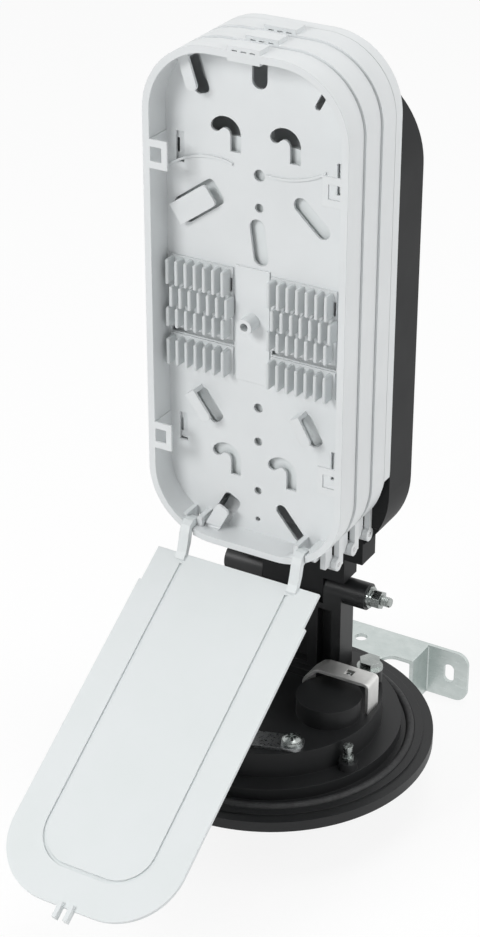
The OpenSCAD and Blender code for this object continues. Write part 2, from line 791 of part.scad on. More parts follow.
pad_t = 1.2;
comb_hole_in = 2.2;
comb_hole_z = 49;
comb_hole = [1.9, 8];
comb_rows = [[0, 15.5, 0], [21, 13, 0], [34.5, 12.5, 0.4 * comb_pitch], [47.5, 15, 0]];

module splice_holders(n) color(holder_grey)
    for (x = comb_edges) translate([x, 0, tray_z + comb_z]) comb(floor_y(n));

module comb(y) {
    upper = comb_low + comb_split;
    difference() {
        for (v = [[0, comb_low], [upper, comb_l - upper]])
            translate([0, y - pad_t, v[0]]) cube([comb_w, pad_t, v[1]]);
        translate([comb_w - comb_hole_in, y - pad_t - 1, comb_hole_z])
            cube([comb_hole.x, pad_t + 2, comb_hole.y]);
    }
    for (row = comb_rows, i = [0 : comb_ribs - 1])
        translate([i * comb_pitch + 0.6 + row[2], y - comb_h, row[0]]) cube([comb_rib_t, comb_h - 1, row[1]]);
}

module splice_holders_1() splice_holders(1);
module splice_holders_2() splice_holders(2);
module splice_holders_3() splice_holders(3);

// Lids, drawn about their hinge in the shut place

arm_foot = 6;
groove_end = 20;
groove_half = 33.5;
groove_r = 22;
groove_w = 2;
groove_d = 1.1;

module lid_shut() difference() {
    union() {
        along_y(-lid_set - lid_t / 2, lid_t) translate([0, lid_reach]) difference() {
            lid_outline(lid_w, lid_l, lid_r);
            for (s = sides) translate([s * lid_w / 2 - lid_neck_in, -1])
                square([2 * lid_neck_in, lid_neck + 1]);
        }
        both() along_x(arm_x - arm_w / 2, arm_w) lid_arm();
        both() along_y(-lid_set - lid_t / 2, 4.2) translate([2.2, lid_reach + lid_l - 2]) square([2.4, 9]);
    }
    along_y(-lid_set + lid_t / 2 - groove_d, 2) translate([0, lid_reach + arm_foot]) lid_groove();
    rod_x(-60, 60, lid_pin_d + 2 * lid_pin_clear, 0, 0);
}

module lid_outline(w, l, r) {
    translate([-w / 2, 0]) square([w, l - r]);
    translate([r - w / 2, 0]) square([w - 2 * r, l]);
    for (s = sides) translate([s * (w / 2 - r), l - r]) circle(r);
}

module lid_groove() difference() {
    l = lid_l - arm_foot - groove_end;
    lid_outline(2 * groove_half + groove_w, l, groove_r);
    translate([0, -1]) lid_outline(2 * groove_half - groove_w, l - groove_w + 1, groove_r - groove_w);
}

// A lid arm's side, drawn as it hangs open and turned back to the shut place
module lid_arm() {
    circle(lid_barrel_r, $fn = 32);
    rotate(-122) polygon([[0, 3.2], [-4, 4.6], [-7.2, 4.8], [-10.4, 2.8], [-12, -1], [-13.5, -7],
        [-15.2, -12], [-18.2, -15], [-16.7, -16.7], [-12.9, -14.3], [-9.9, -8], [-8.4, -2.2],
        [-5, -1.4], [0, -3.2]]);
}

module lid(n, open) color(shell_white)
    translate([0, rim_y(n) + lid_pin_y, lid_pin_z]) rotate([open, 0, 0]) lid_shut();

module lid_1() lid(1, lid_open);
module lid_2() lid(2, 0);
module lid_3() lid(3, 0);

// Hinge pins

module lid_pins(n) color(steel) both()
    rod_x(arm_x - lid_pin_half, arm_x + lid_pin_half, lid_pin_d, rim_y(n) + lid_pin_y, lid_pin_z);

module lid_pins_1() lid_pins(1);
module lid_pins_2() lid_pins(2);
module lid_pins_3() lid_pins(3);

module tray_pins(n) color(steel) both()
    rod_x(tray_lug_x, tray_lug_x + 2 * tray_lug_t + gap, tray_pin_d, rim_y(n + 1) + tray_pin_y, tray_pin_z);

module tray_pins_1() tray_pins(1);
module tray_pins_2() tray_pins(2);
module tray_pins_3() tray_pins(3);

base_body();
dome_seal();
tie_plates();
tie_screws();
strap_right();
strap_left();
earth_bolts();
air_valve();
valve_cap();
pillar();
pillar_screws();
pivot_bolt();
pivot_washers();
pivot_nut();
wall_bracket();
bracket_bolts();
carrier();
hinge_plate();
hinge_plate_screws();
tray_1();
tray_2();
tray_3();
splice_holders_1();
splice_holders_2();
splice_holders_3();
lid_1();
lid_2();
lid_3();
lid_pins_1();
lid_pins_2();
lid_pins_3();
tray_pins_1();
tray_pins_2();
tray_pins_3();
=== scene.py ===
"""Looks of an open fibre splice closure: base, wall bracket, tray rack and open front lid."""

from __future__ import annotations

import json
import logging
import math
from collections.abc import Iterable
from dataclasses import dataclass, field
from enum import Enum
from typing import Any

import bmesh
import bpy
from mathutils import Matrix, Vector

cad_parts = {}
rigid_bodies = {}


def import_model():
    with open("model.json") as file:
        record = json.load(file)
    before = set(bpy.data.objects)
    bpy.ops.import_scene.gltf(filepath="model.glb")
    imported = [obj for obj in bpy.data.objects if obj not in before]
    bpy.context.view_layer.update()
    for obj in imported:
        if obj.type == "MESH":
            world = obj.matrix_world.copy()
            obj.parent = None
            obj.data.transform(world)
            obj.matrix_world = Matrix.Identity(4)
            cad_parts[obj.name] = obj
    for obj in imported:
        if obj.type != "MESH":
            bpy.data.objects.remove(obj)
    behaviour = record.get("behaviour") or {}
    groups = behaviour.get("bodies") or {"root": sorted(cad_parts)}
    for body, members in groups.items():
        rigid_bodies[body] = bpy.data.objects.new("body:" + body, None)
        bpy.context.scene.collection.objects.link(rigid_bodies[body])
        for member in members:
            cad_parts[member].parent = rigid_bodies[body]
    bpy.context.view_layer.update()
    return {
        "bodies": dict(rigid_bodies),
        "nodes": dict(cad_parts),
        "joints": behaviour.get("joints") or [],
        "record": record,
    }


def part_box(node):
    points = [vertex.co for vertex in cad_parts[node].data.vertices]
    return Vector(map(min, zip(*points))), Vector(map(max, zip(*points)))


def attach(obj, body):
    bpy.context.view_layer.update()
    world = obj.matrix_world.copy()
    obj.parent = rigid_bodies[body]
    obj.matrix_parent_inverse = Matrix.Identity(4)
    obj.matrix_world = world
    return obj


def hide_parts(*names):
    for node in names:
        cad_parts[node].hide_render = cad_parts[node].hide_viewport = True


LOG = logging.getLogger("closure")
Point = tuple[float, float, float]

MM = 0.001
# Corners nearer than this, in metres, are one corner.
WELD = 1e-6
# A cut that passes this near to a corner, in metres, goes through it.
CUT = 1e-7
# Neighbouring triangles that turn by less than this are one flat face.
FLAT = math.radians(0.5)
# Most values of a noise lie between these two.
NOISE_LOW, NOISE_HIGH = 0.3, 0.7
# Strength of each finer octave of a noise against the one before it.
NOISE_ROUGHNESS = 0.55
# The colour sockets of the Mix node, which share their names with its number sockets.
MIX_FIRST, MIX_SECOND, MIX_RESULT = 6, 7, 2
# Rays with which the Bevel node looks for an edge.
EDGE_SAMPLES = 4


def hex_rgb(code: str) -> tuple[float, float, float, float]:
    """Turn an sRGB hex colour into the linear values that a shader socket takes.

    Args:
        code: Six hex digits, with or without a leading #.

    Returns:
        Linear red, green, blue and an alpha of 1.
    """
    digits = code.lstrip("#")
    parts = [int(digits[i : i + 2], 16) / 255 for i in (0, 2, 4)]
    # The numbers below are those of the sRGB standard's own curve.
    linear = [p / 12.92 if p <= 0.04045 else ((p + 0.055) / 1.055) ** 2.4 for p in parts]
    return (linear[0], linear[1], linear[2], 1.0)


def add_node(
    tree: bpy.types.NodeTree,
    kind: str,
    settings: dict[str, Any] | None = None,
    inputs: dict[str | int, Any] | None = None,
) -> bpy.types.Node:
    """Add one node with its settings and its inputs.

    Args:
        tree: The node tree to add to.
        kind: The node's bl_idname.
        settings: Properties of the node itself.
        inputs: Values, or output sockets to link from, by input name or number.

    Returns:
        The new node.
    """
    node = tree.nodes.new(kind)
    for key, value in (settings or {}).items():
        setattr(node, key, value)
    for key, value in (inputs or {}).items():
        if isinstance(value, bpy.types.NodeSocket):
            tree.links.new(value, node.inputs[key])
        else:
            node.inputs[key].default_value = value
    return node


def object_noise(
    tree: bpy.types.NodeTree, size_mm: float, detail: float, stretch: Point = (1.0, 1.0, 1.0)
) -> bpy.types.NodeSocket:
    """Add noise in the object's own coordinates.

    Args:
        tree: The node tree to add to.
        size_mm: Size of one patch of the pattern.
        detail: Octaves of the noise.
        stretch: Scale of the pattern along X, Y and Z; a small number draws it out to streaks.

    Returns:
        The noise's factor output.
    """
    place = add_node(tree, "ShaderNodeTexCoord")
    scale = Vector(stretch) / (size_mm * MM)
    mapped = add_node(
        tree, "ShaderNodeMapping", inputs={"Vector": place.outputs["Object"], "Scale": scale}
    )
    noise = add_node(
        tree,
        "ShaderNodeTexNoise",
        inputs={
            "Vector": mapped.outputs[0],
            "Scale": 1.0,
            "Detail": detail,
            "Roughness": NOISE_ROUGHNESS,
        },
    )
    return noise.outputs["Fac"]


def edges_of(verts: Iterable[bmesh.types.BMVert]) -> list[bmesh.types.BMEdge]:
    """List each edge at some corners once, in the same order on every run."""
    return list(dict.fromkeys(edge for vert in verts for edge in vert.link_edges))


def block(work: bmesh.types.BMesh, low: Point, high: Point) -> list[bmesh.types.BMVert]:
    """Add a block between two corners.

    Args:
        work: The bmesh to add to.
        low: Lowest corner, in mm.
        high: Highest corner, in mm.

    Returns:
        The block's vertices.
    """
    a, b = Vector(low) * MM, Vector(high) * MM
    matrix = Matrix.Translation((a + b) / 2) @ Matrix.Diagonal((*(b - a), 1))
    return bmesh.ops.create_cube(work, size=1, matrix=matrix)["verts"]


def soften(
    work: bmesh.types.BMesh, edges: list[bmesh.types.BMEdge], radius: float, steps: int
) -> None:
    """Round some edges.

    Args:
        work: The bmesh that holds them.
        edges: The edges to round.
        radius: How far the rounding reaches from the edge, in mm.
        steps: Segments of the rounding.
    """
    bmesh.ops.bevel(
        work,
        geom=edges,
        offset=radius * MM,
        offset_type="OFFSET",
        segments=steps,
        profile=0.5,
        affect="EDGES",
        material=-1,
        clamp_overlap=True,
    )


def window(work: bmesh.types.BMesh, low: Vector, high: Vector) -> None:
    """Cut a rectangular window through a flat plate that lies across Y.

    Args:
        work: A bmesh that holds the plate alone.
        low: The window's lowest X and Z, in metres, in a vector.
        high: Its highest X and Z.
    """
    for axis in (0, 2):
        for place in (low, high):
            normal = Vector((axis == 0, 0, axis == 2))
            geom = [*work.verts, *work.edges, *work.faces]
            bmesh.ops.bisect_plane(work, geom=geom, dist=CUT, plane_co=place, plane_no=normal)
    inside = []
    for face in work.faces:
        middle = face.calc_center_median()
        if low.x < middle.x < high.x and low.z < middle.z < high.z:
            inside.append(face)
    rims = dict.fromkeys(edge for face in inside for edge in face.edges)
    bmesh.ops.delete(work, geom=inside, context="FACES_ONLY")
    bmesh.ops.bridge_loops(work, edges=[edge for edge in rims if edge.is_valid])


def new_piece(name: str, work: bmesh.types.BMesh) -> bpy.types.Object:
    """Turn a bmesh into an object at the origin.

    Args:
        name: The object's name.
        work: Its mesh, which is freed.

    Returns:
        The object, linked to the scene.
    """
    bmesh.ops.recalc_face_normals(work, faces=work.faces)
    mesh = bpy.data.meshes.new(name)
    work.to_mesh(mesh)
    work.free()
    piece = bpy.data.objects.new(name, mesh)
    bpy.context.scene.collection.objects.link(piece)
    return piece


def merged_copy(node: bpy.types.Object) -> bmesh.types.BMesh:
    """Copy a CAD node's mesh with the corners of its loose triangles joined.

    Args:
        node: The CAD node, which stays as it is.

    Returns:
        The copy.
    """
    work = bmesh.new()
    work.from_mesh(node.data)
    bmesh.ops.remove_doubles(work, verts=work.verts, dist=WELD)
    return work


@dataclass(frozen=True)
class Surface:
    """What all finishes share: two close colours in soft clouds, and a roughness that varies."""

    name: str
    colour: str
    shade: str
    roughness: float

    def material(self) -> bpy.types.Material:
        """Build the material; each kind of finish does it its own way."""
        raise NotImplementedError

    def start(self) -> tuple[bpy.types.Material, bpy.types.NodeTree, bpy.types.Node]:
        """Make a material that holds only a Principled shader and its output.

        Returns:
            The material, its node tree and the Principled node.
        """
        material = bpy.data.materials.new(self.name)
        material.use_nodes = True
        tree = material.node_tree
        tree.nodes.clear()
        shader = add_node(tree, "ShaderNodeBsdfPrincipled")
        add_node(tree, "ShaderNodeOutputMaterial", inputs={"Surface": shader.outputs[0]})
        return material, tree, shader

    def blend_colours(
        self, tree: bpy.types.NodeTree, shader: bpy.types.Node, cloud_mm: float, detail: float
    ) -> None:
        """Blend the two colours in soft clouds.

        Args:
            tree: The material's node tree.
            shader: Its Principled node.
            cloud_mm: Size of a cloud.
            detail: Octaves of the clouds.
        """
        cloud = add_node(
            tree,
            "ShaderNodeMapRange",
            inputs={
                "Value": object_noise(tree, cloud_mm, detail),
                "From Min": NOISE_LOW,
                "From Max": NOISE_HIGH,
                "To Min": 0.0,
                "To Max": 1.0,
            },
        )
        blend = add_node(
            tree,
            "ShaderNodeMix",
            {"data_type": "RGBA"},
            {
                0: cloud.outputs[0],
                MIX_FIRST: hex_rgb(self.colour),
                MIX_SECOND: hex_rgb(self.shade),
            },
        )
        tree.links.new(blend.outputs[MIX_RESULT], shader.inputs["Base Color"])

    def vary_gloss(
        self,
        tree: bpy.types.NodeTree,
        shader: bpy.types.Node,
        pattern: bpy.types.NodeSocket,
        smoother: float,
        rougher: float,
    ) -> None:
        """Let the roughness follow a pattern.

        Args:
            tree: The material's node tree.
            shader: Its Principled node.
            pattern: The noise to follow.
            smoother: How far the roughness falls where the noise is low.
            rougher: How far it rises where the noise is high.
        """
        gloss = add_node(
            tree,
            "ShaderNodeMapRange",
            inputs={
                "Value": pattern,
                "From Min": NOISE_LOW,
                "From Max": NOISE_HIGH,
                "To Min": self.roughness - smoother,
                "To Max": self.roughness + rougher,
            },
        )
        tree.links.new(gloss.outputs[0], shader.inputs["Roughness"])

    def add_relief(
        self,
        tree: bpy.types.NodeTree,
        shader: bpy.types.Node,
        pattern: bpy.types.NodeSocket,
        strength: float,
        height_mm: float,
        edge_mm: float,
    ) -> None:
        """Give the surface a fine relief and edges that catch the light.

        Args:
            tree: The material's node tree.
            shader: Its Principled node.
            pattern: The noise that the relief follows.
            strength: Share of the relief that shows.
            height_mm: Height of the relief.
            edge_mm: Radius that the shading gives to sharp edges.
        """
        edge = add_node(
            tree, "ShaderNodeBevel", {"samples": EDGE_SAMPLES}, {"Radius": edge_mm * MM}
        )
        bump = add_node(
            tree,
            "ShaderNodeBump",
            inputs={
                "Strength": strength,
                "Distance": height_mm * MM,
                "Height": pattern,
                "Normal": edge.outputs[0],
            },
        )
        tree.links.new(bump.outputs[0], shader.inputs["Normal"])


@dataclass(frozen=True)
class MouldedPlastic(Surface):
    """Injection moulded plastic: an even colour, a fine mould grain and soft edges.

    The eye sees one calm tone that shifts only a little over a few centimetres, where the melt
    cooled unevenly, and highlights that the grain spreads. The grain of about 0.4 mm is drawn at
    0.8 mm, so that it shows in the picture.
    """

    cloud_mm: float = 45.0
    gloss_mm: float = 30.0
    gloss_spread: float = 0.02
    grain_mm: float = 0.8
    grain_height_mm: float = 0.012
    grain_strength: float = 0.6
    edge_mm: float = 0.35
    ior: float = 1.52
    specular: float = 0.5

    def material(self) -> bpy.types.Material:
        """Build the material.

        Returns:
            The material.
        """
        material, tree, shader = self.start()
        self.blend_colours(tree, shader, self.cloud_mm, detail=3)
        gloss = object_noise(tree, self.gloss_mm, detail=2)
        self.vary_gloss(tree, shader, gloss, self.gloss_spread, self.gloss_spread)
        grain = object_noise(tree, self.grain_mm, detail=2)
        self.add_relief(
            tree, shader, grain, self.grain_strength, self.grain_height_mm, self.edge_mm
        )
        shader.inputs["IOR"].default_value = self.ior
        shader.inputs["Specular IOR Level"].default_value = self.specular
        return material


@dataclass(frozen=True)
class PlatedSteel(Surface):
    """Zinc plated or rolled steel: a bright metal with cloudy patches and fine rolling marks.

    The eye sees a satin metal whose tone changes from patch to patch, and highlights drawn out
    across the marks. The patches have their real size of about 7 mm. The marks are about 0.1 mm
    wide on the real sheet and are drawn at 0.6 mm, so that they show in the picture.
    """

    patch_mm: float = 7.0
    mark_mm: float = 0.6
    # A small number draws the marks out along that axis, which is X on every sheet here.
    mark_stretch: Point = (0.08, 1.0, 1.0)
    smoother: float = 0.08
    rougher: float = 0.1
    mark_height_mm: float = 0.02
    mark_strength: float = 0.25
    edge_mm: float = 0.3

    def material(self) -> bpy.types.Material:
        """Build the material.

        Returns:
            The material.
        """
        material, tree, shader = self.start()
        self.blend_colours(tree, shader, self.patch_mm, detail=4)
        marks = object_noise(tree, self.mark_mm, detail=2, stretch=self.mark_stretch)
        self.vary_gloss(tree, shader, marks, self.smoother, self.rougher)
        self.add_relief(tree, shader, marks, self.mark_strength, self.mark_height_mm, self.edge_mm)
        shader.inputs["Metallic"].default_value = 1.0
        return material


@dataclass(frozen=True)
class SealRubber(Surface):
    """Moulded rubber with a little bloom.

    The eye sees a dull black ring with faint greyer clouds. The bloom is a dust far finer than
    a millimetre, and is drawn in clouds of 6 mm and dull spots of 2 mm, so that it shows.
    """

    bloom_mm: float = 6.0
    spot_mm: float = 2.0
    gloss_spread: float = 0.1
    ior: float = 1.5

    def material(self) -> bpy.types.Material:
        """Build the material.

        Returns:
            The material.
        """
        material, tree, shader = self.start()
        self.blend_colours(tree, shader, self.bloom_mm, detail=4)
        spots = object_noise(tree, self.spot_mm, detail=3)
        self.vary_gloss(tree, shader, spots, self.gloss_spread, self.gloss_spread)
        shader.inputs["IOR"].default_value = self.ior
        return material


class Finish(Enum):
    """The finishes of the closure, each with what it gives the eye."""

    # Polypropylene from a lightly grained mould: soft black, with a broad grey sheen on top.
    BASE = MouldedPlastic("base_moulded_polypropylene", "#1B1C1D", "#202122", 0.44, specular=0.3)
    # Nylon from a smoother mould: as black, with a slightly tighter highlight on its round head.
    PILLAR = MouldedPlastic("pillar_moulded_nylon", "#1A1B1C", "#1F2021", 0.42, specular=0.35)
    # ABS from a matt mould, near black; its colour is set as the darkest of all, partly its own
    # black and partly painted shade, so that it draws a black outline round the white trays.
    CARRIER = MouldedPlastic("carrier_abs_with_painted_shade", "#191A1B", "#1E1F20", 0.55, specular=0.2)
    # White ABS, satin: a cool white, with pale highlights along rims and retainers.
    TRAY = MouldedPlastic("tray_moulded_abs", "#E4E7E8", "#DFE2E3", 0.38)
    # The same ABS in a thin flat sheet: an even white plate, a trace smoother and cooler.
    LID = MouldedPlastic("lid_moulded_abs", "#E3E7E8", "#E0E5E5", 0.36)
    # Soft elastomer: a shade greyer than the trays and dull, so the ribs read by their shadows.
    HOLDER = MouldedPlastic("splice_holder_moulded_elastomer", "#DDE0E1", "#D3D7D8", 0.6)
    # Clear zinc plate on folded sheet: pale silver with a cool cast and cloudy reflections.
    ZINC = PlatedSteel("zinc_plated_steel", "#CAD1CF", "#BFC7C5", 0.34)
    # Zinc plate on turned and headed parts: a darker silver, partly the plating's own tone and
    # partly a painted dark reflection of the surroundings, with small, sharper highlights.
    BOLT = PlatedSteel("bolt_zinc_with_painted_dark_reflection", "#ACB0AE", "#959A98", 0.24)
    # Stainless strip, rolled and left dull: light neutral grey that brightens softly at the bends.
    STRAP = PlatedSteel(
        "rolled_stainless_steel", "#DEDEDC", "#D0D0CE", 0.42, mark_stretch=(0.3, 1.0, 1.0)
    )
    # Stainless sheet, rolled bright: mirrors the floor and the black base in broad dark strokes.
    TIE = PlatedSteel(
        "bright_rolled_stainless_steel", "#9A9C9D", "#8C8E8F", 0.3, mark_stretch=(0.3, 1.0, 1.0)
    )
    # Wire drawn through a die: smooth, with one thin bright line along each pin.
    PIN = PlatedSteel("drawn_steel_wire", "#C6C7C8", "#B4B5B6", 0.25)
    # Rubber from a steel mould: black and dull between the glossier mouldings.
    SEAL = SealRubber("seal_moulded_rubber", "#1A1A1B", "#2A2B2C", 0.65)


class FinishShelf:
    """Makes each finish once and puts it on pieces."""

    def __init__(self) -> None:
        """Start with no material made."""
        self._made: dict[Finish, bpy.types.Material] = {}

    def get(self, finish: Finish) -> bpy.types.Material:
        """Give the finish's material.

        Args:
            finish: The finish wanted.

        Returns:
            Its material, made on first use.
        """
        if finish not in self._made:
            self._made[finish] = finish.value.material()
        return self._made[finish]

    def dress(self, piece: bpy.types.Object, finish: Finish) -> None:
        """Give a piece one finish.

        Args:
            piece: The object.
            finish: Its finish.
        """
        piece.data.materials.clear()
        piece.data.materials.append(self.get(finish))


@dataclass
class SubAssembly:
    """A group of CAD nodes and new pieces that are dressed together."""

    shelf: FinishShelf
    nodes: dict[str, Finish] = field(default_factory=dict)

    def place(
        self, piece: bpy.types.Object, body: str, slot: str, finish: Finish, node: str
    ) -> None:
        """Put a new piece in a CAD node's place.

        Args:
            piece: The new piece.
            body: The body it rides on.
            slot: The record's material slot; not used.
            finish: Its finish.
            node: The CAD node it stands for.
        """
        self.shelf.dress(piece, finish)
        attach(piece, body)
        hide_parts(node)
        LOG.info("made %s in place of %s", piece.name, node)

    def build(self, frame: dict[str, Any]) -> None:
        """Make the new pieces; a sub-assembly without any keeps its CAD nodes."""

    def dress_nodes(self, frame: dict[str, Any]) -> None:
        """Put the finishes on the CAD nodes.
        """
        for name, finish in self.nodes.items():
            self.shelf.dress(frame["nodes"][name], finish)
            LOG.info("dressed %s with %s", name, finish.value.name)


@dataclass(frozen=True)
class FoldedSheet:
    """A folded metal sheet: its thickness and which of its edges are folds.

    Lengths are in mm, and directions are 0 to 2 for X to Z. A fold's inner radius is a share of
    the thickness, and its outer one is that and the thickness. An edge is a fold where both faces
    beside it are wider than the thickness times least_width, and turn by more than least_turn.
    """

    thickness: float
    fold_directions: tuple[int, ...]
    shortest_fold: float
    inner_radius: float = 0.35
    least_width: float = 1.4
    least_turn: float = 0.3
    steps: int = 4

    def _is_fold(self, edge: bmesh.types.BMEdge) -> bool:
        """Tell a fold from the cut edges of the sheet.

        Args:
            edge: An edge of the sheet.

        Returns:
            Whether it is a fold.
        """
        run = edge.verts[1].co - edge.verts[0].co
        along = max(range(3), key=lambda k: abs(run[k]))
        straight = run.length - abs(run[along]) < WELD
        long_enough = run.length > self.shortest_fold * MM
        in_direction = straight and along in self.fold_directions
        if not (in_direction and long_enough and edge.is_manifold):
            return False
        smaller_face = min(face.calc_area() for face in edge.link_faces)
        wide = smaller_face > self.least_width * self.thickness * MM * run.length
        return wide and edge.calc_face_angle() > self.least_turn

    def round_folds(self, work: bmesh.types.BMesh) -> None:
        """Give the folds their bend radii, large outside and small inside.

        Args:
            work: The sheet's triangles, with their corners joined and the folds sharp.
        """
        bmesh.ops.dissolve_limit(work, angle_limit=FLAT, verts=work.verts, edges=work.edges)
        for convex, radius in ((True, 1 + self.inner_radius), (False, self.inner_radius)):
            folds = [e for e in work.edges if self._is_fold(e) and e.is_convex is convex]
            soften(work, folds, radius * self.thickness, self.steps)


@dataclass
class Base(SubAssembly):
    """The round base with its ports, seal, straps, tie plates, earth bolts and air valve."""

    nodes: dict[str, Finish] = field(
        default_factory=lambda: {
            "base_body": Finish.BASE,
            "dome_seal": Finish.SEAL,
            "tie_plates": Finish.TIE,
            "tie_screws": Finish.BOLT,
            "strap_right": Finish.STRAP,
            "strap_left": Finish.STRAP,
            "earth_bolts": Finish.BOLT,
            "air_valve": Finish.BOLT,
            "valve_cap": Finish.BOLT,
            "pillar": Finish.PILLAR,
            "pillar_screws": Finish.BOLT,
            "pivot_bolt": Finish.BOLT,
            "pivot_washers": Finish.BOLT,
            "pivot_nut": Finish.BOLT,
        }
    )
    # The M6 pivot bolt, in mm; its shank starts a little inside its head.
    bolt_r: float = 3.0
    thread_root_r: float = 2.45
    thread_pitch: float = 1.0
    thread_l: float = 17.0
    round_steps: int = 32
    head_r: float = 5.6
    head_t: float = 4.2
    head_sides: int = 6
    head_bevel: float = 0.5
    head_bevel_steps: int = 2
    shank_in_head: float = 0.2
    strap_sheet: FoldedSheet = FoldedSheet(2.0, fold_directions=(1,), shortest_fold=8.0)

    def build(self, frame: dict[str, Any]) -> None:
        """Make the threaded pivot bolt and the folded straps.
        """
        self.place(self._pivot_bolt(), "base", "zinc_plate", Finish.BOLT, "pivot_bolt")
        for side in ("right", "left"):
            work = merged_copy(frame["nodes"][f"strap_{side}"])
            self.strap_sheet.round_folds(work)
            strap = new_piece(f"folded_strap_{side}", work)
            self.place(strap, "base", "strap_steel", Finish.STRAP, f"strap_{side}")

    def _pivot_bolt(self) -> bpy.types.Object:
        """Turn the bolt about its axis: hexagon head, plain shank and ridged end.

        Returns:
            The bolt in one piece.
        """
        low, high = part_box("pivot_bolt")
        axis = Vector((0, (low[1] + high[1]) / 2, (low[2] + high[2]) / 2))
        shank, tip = low[0] / MM + self.head_t - self.shank_in_head, high[0] / MM
        line = [(shank, 0.0), (shank, self.bolt_r), (tip - self.thread_l, self.bolt_r)]
        turns = int(self.thread_l / self.thread_pitch) - 1
        for turn in range(turns):
            start = tip - self.thread_l + turn * self.thread_pitch
            line.append((start + self.thread_pitch / 2, self.thread_root_r))
            line.append((start + self.thread_pitch, self.bolt_r))
        line += [(tip, self.thread_root_r), (tip, 0.0)]
        work = bmesh.new()
        verts = [work.verts.new(axis + Vector((x * MM, 0, r * MM))) for x, r in line]
        edges = [work.edges.new(pair) for pair in zip(verts, verts[1:])]
        bmesh.ops.spin(
            work,
            geom=[*verts, *edges],
            cent=axis,
            axis=(1, 0, 0),
            angle=math.tau,
            steps=self.round_steps,
            use_merge=True,
        )
        bmesh.ops.remove_doubles(work, verts=work.verts, dist=WELD)
        place = Matrix.Translation((low[0] + self.head_t / 2 * MM, axis.y, axis.z))
        head = bmesh.ops.create_cone(
            work,
            cap_ends=True,
            segments=self.head_sides,
            radius1=self.head_r * MM,
            radius2=self.head_r * MM,
            depth=self.head_t * MM,
            matrix=place @ Matrix.Rotation(math.pi / 2, 4, "Y"),
        )["verts"]
        soften(work, edges_of(head), self.head_bevel, self.head_bevel_steps)
        return new_piece("threaded_pivot_bolt", work)


@dataclass
class WallBracket(SubAssembly):
    """The folded bracket and its bolts."""

    nodes: dict[str, Finish] = field(
        default_factory=lambda: {"wall_bracket": Finish.ZINC, "bracket_bolts": Finish.BOLT}
    )
    sheet: FoldedSheet = FoldedSheet(2.5, fold_directions=(1, 2), shortest_fold=15.0)

    def build(self, frame: dict[str, Any]) -> None:
        """Make the bracket with the bend radii of a folded sheet.
        """
        work = merged_copy(frame["nodes"]["wall_bracket"])
        self.sheet.round_folds(work)
        bracket = new_piece("folded_wall_bracket", work)
        self.place(bracket, "base", "zinc_plate", Finish.ZINC, "wall_bracket")


@dataclass(frozen=True)
class WideRetainer:
    """The wide retainer at a tray's upper left, which stands over its own opening.

    Lengths are in mm and its turn in degrees. X runs across and Z up from the tray's lower end,
    and the height is over the tray's floor.
    """

    x: float = -36.0
    z: float = 196.0
    length: float = 29.0
    width: float = 15.0
    turn: float = 36.0
    height: float = 9.0
    thickness: float = 1.6
    drop: float = 5.5
    # Its foot reaches this far past its end, and its faces are found this far off.
    foot: float = 2.0
    margin: float = 0.3

    def lower(self, work: bmesh.types.BMesh, floor_y: float, tray_z: float) -> int:
        """Set the retainer close over its opening.

        Args:
            work: The tray's mesh, with its corners joined.
            floor_y: Where the tray's floor lies along Y, in mm.
            tray_z: Height of the tray's lower end, in mm.

        Returns:
            How many corners were moved.
        """
        middle = Vector((self.x, floor_y - self.height, tray_z + self.z))
        turn = Matrix.Rotation(-math.radians(self.turn), 4, "Y")
        to_local = (Matrix.Translation(middle * MM) @ turn).inverted()
        found = []
        for vert in work.verts:
            place = to_local @ vert.co / MM
            in_length = -self.length / 2 - self.foot < place.x < self.length / 2
            in_depth = -self.margin < place.y < self.thickness + self.margin
            if in_length and in_depth and abs(place.z) < self.width / 2:
                found.append(vert)
        bmesh.ops.translate(work, vec=(0, self.drop * MM, 0), verts=found)
        return len(found)


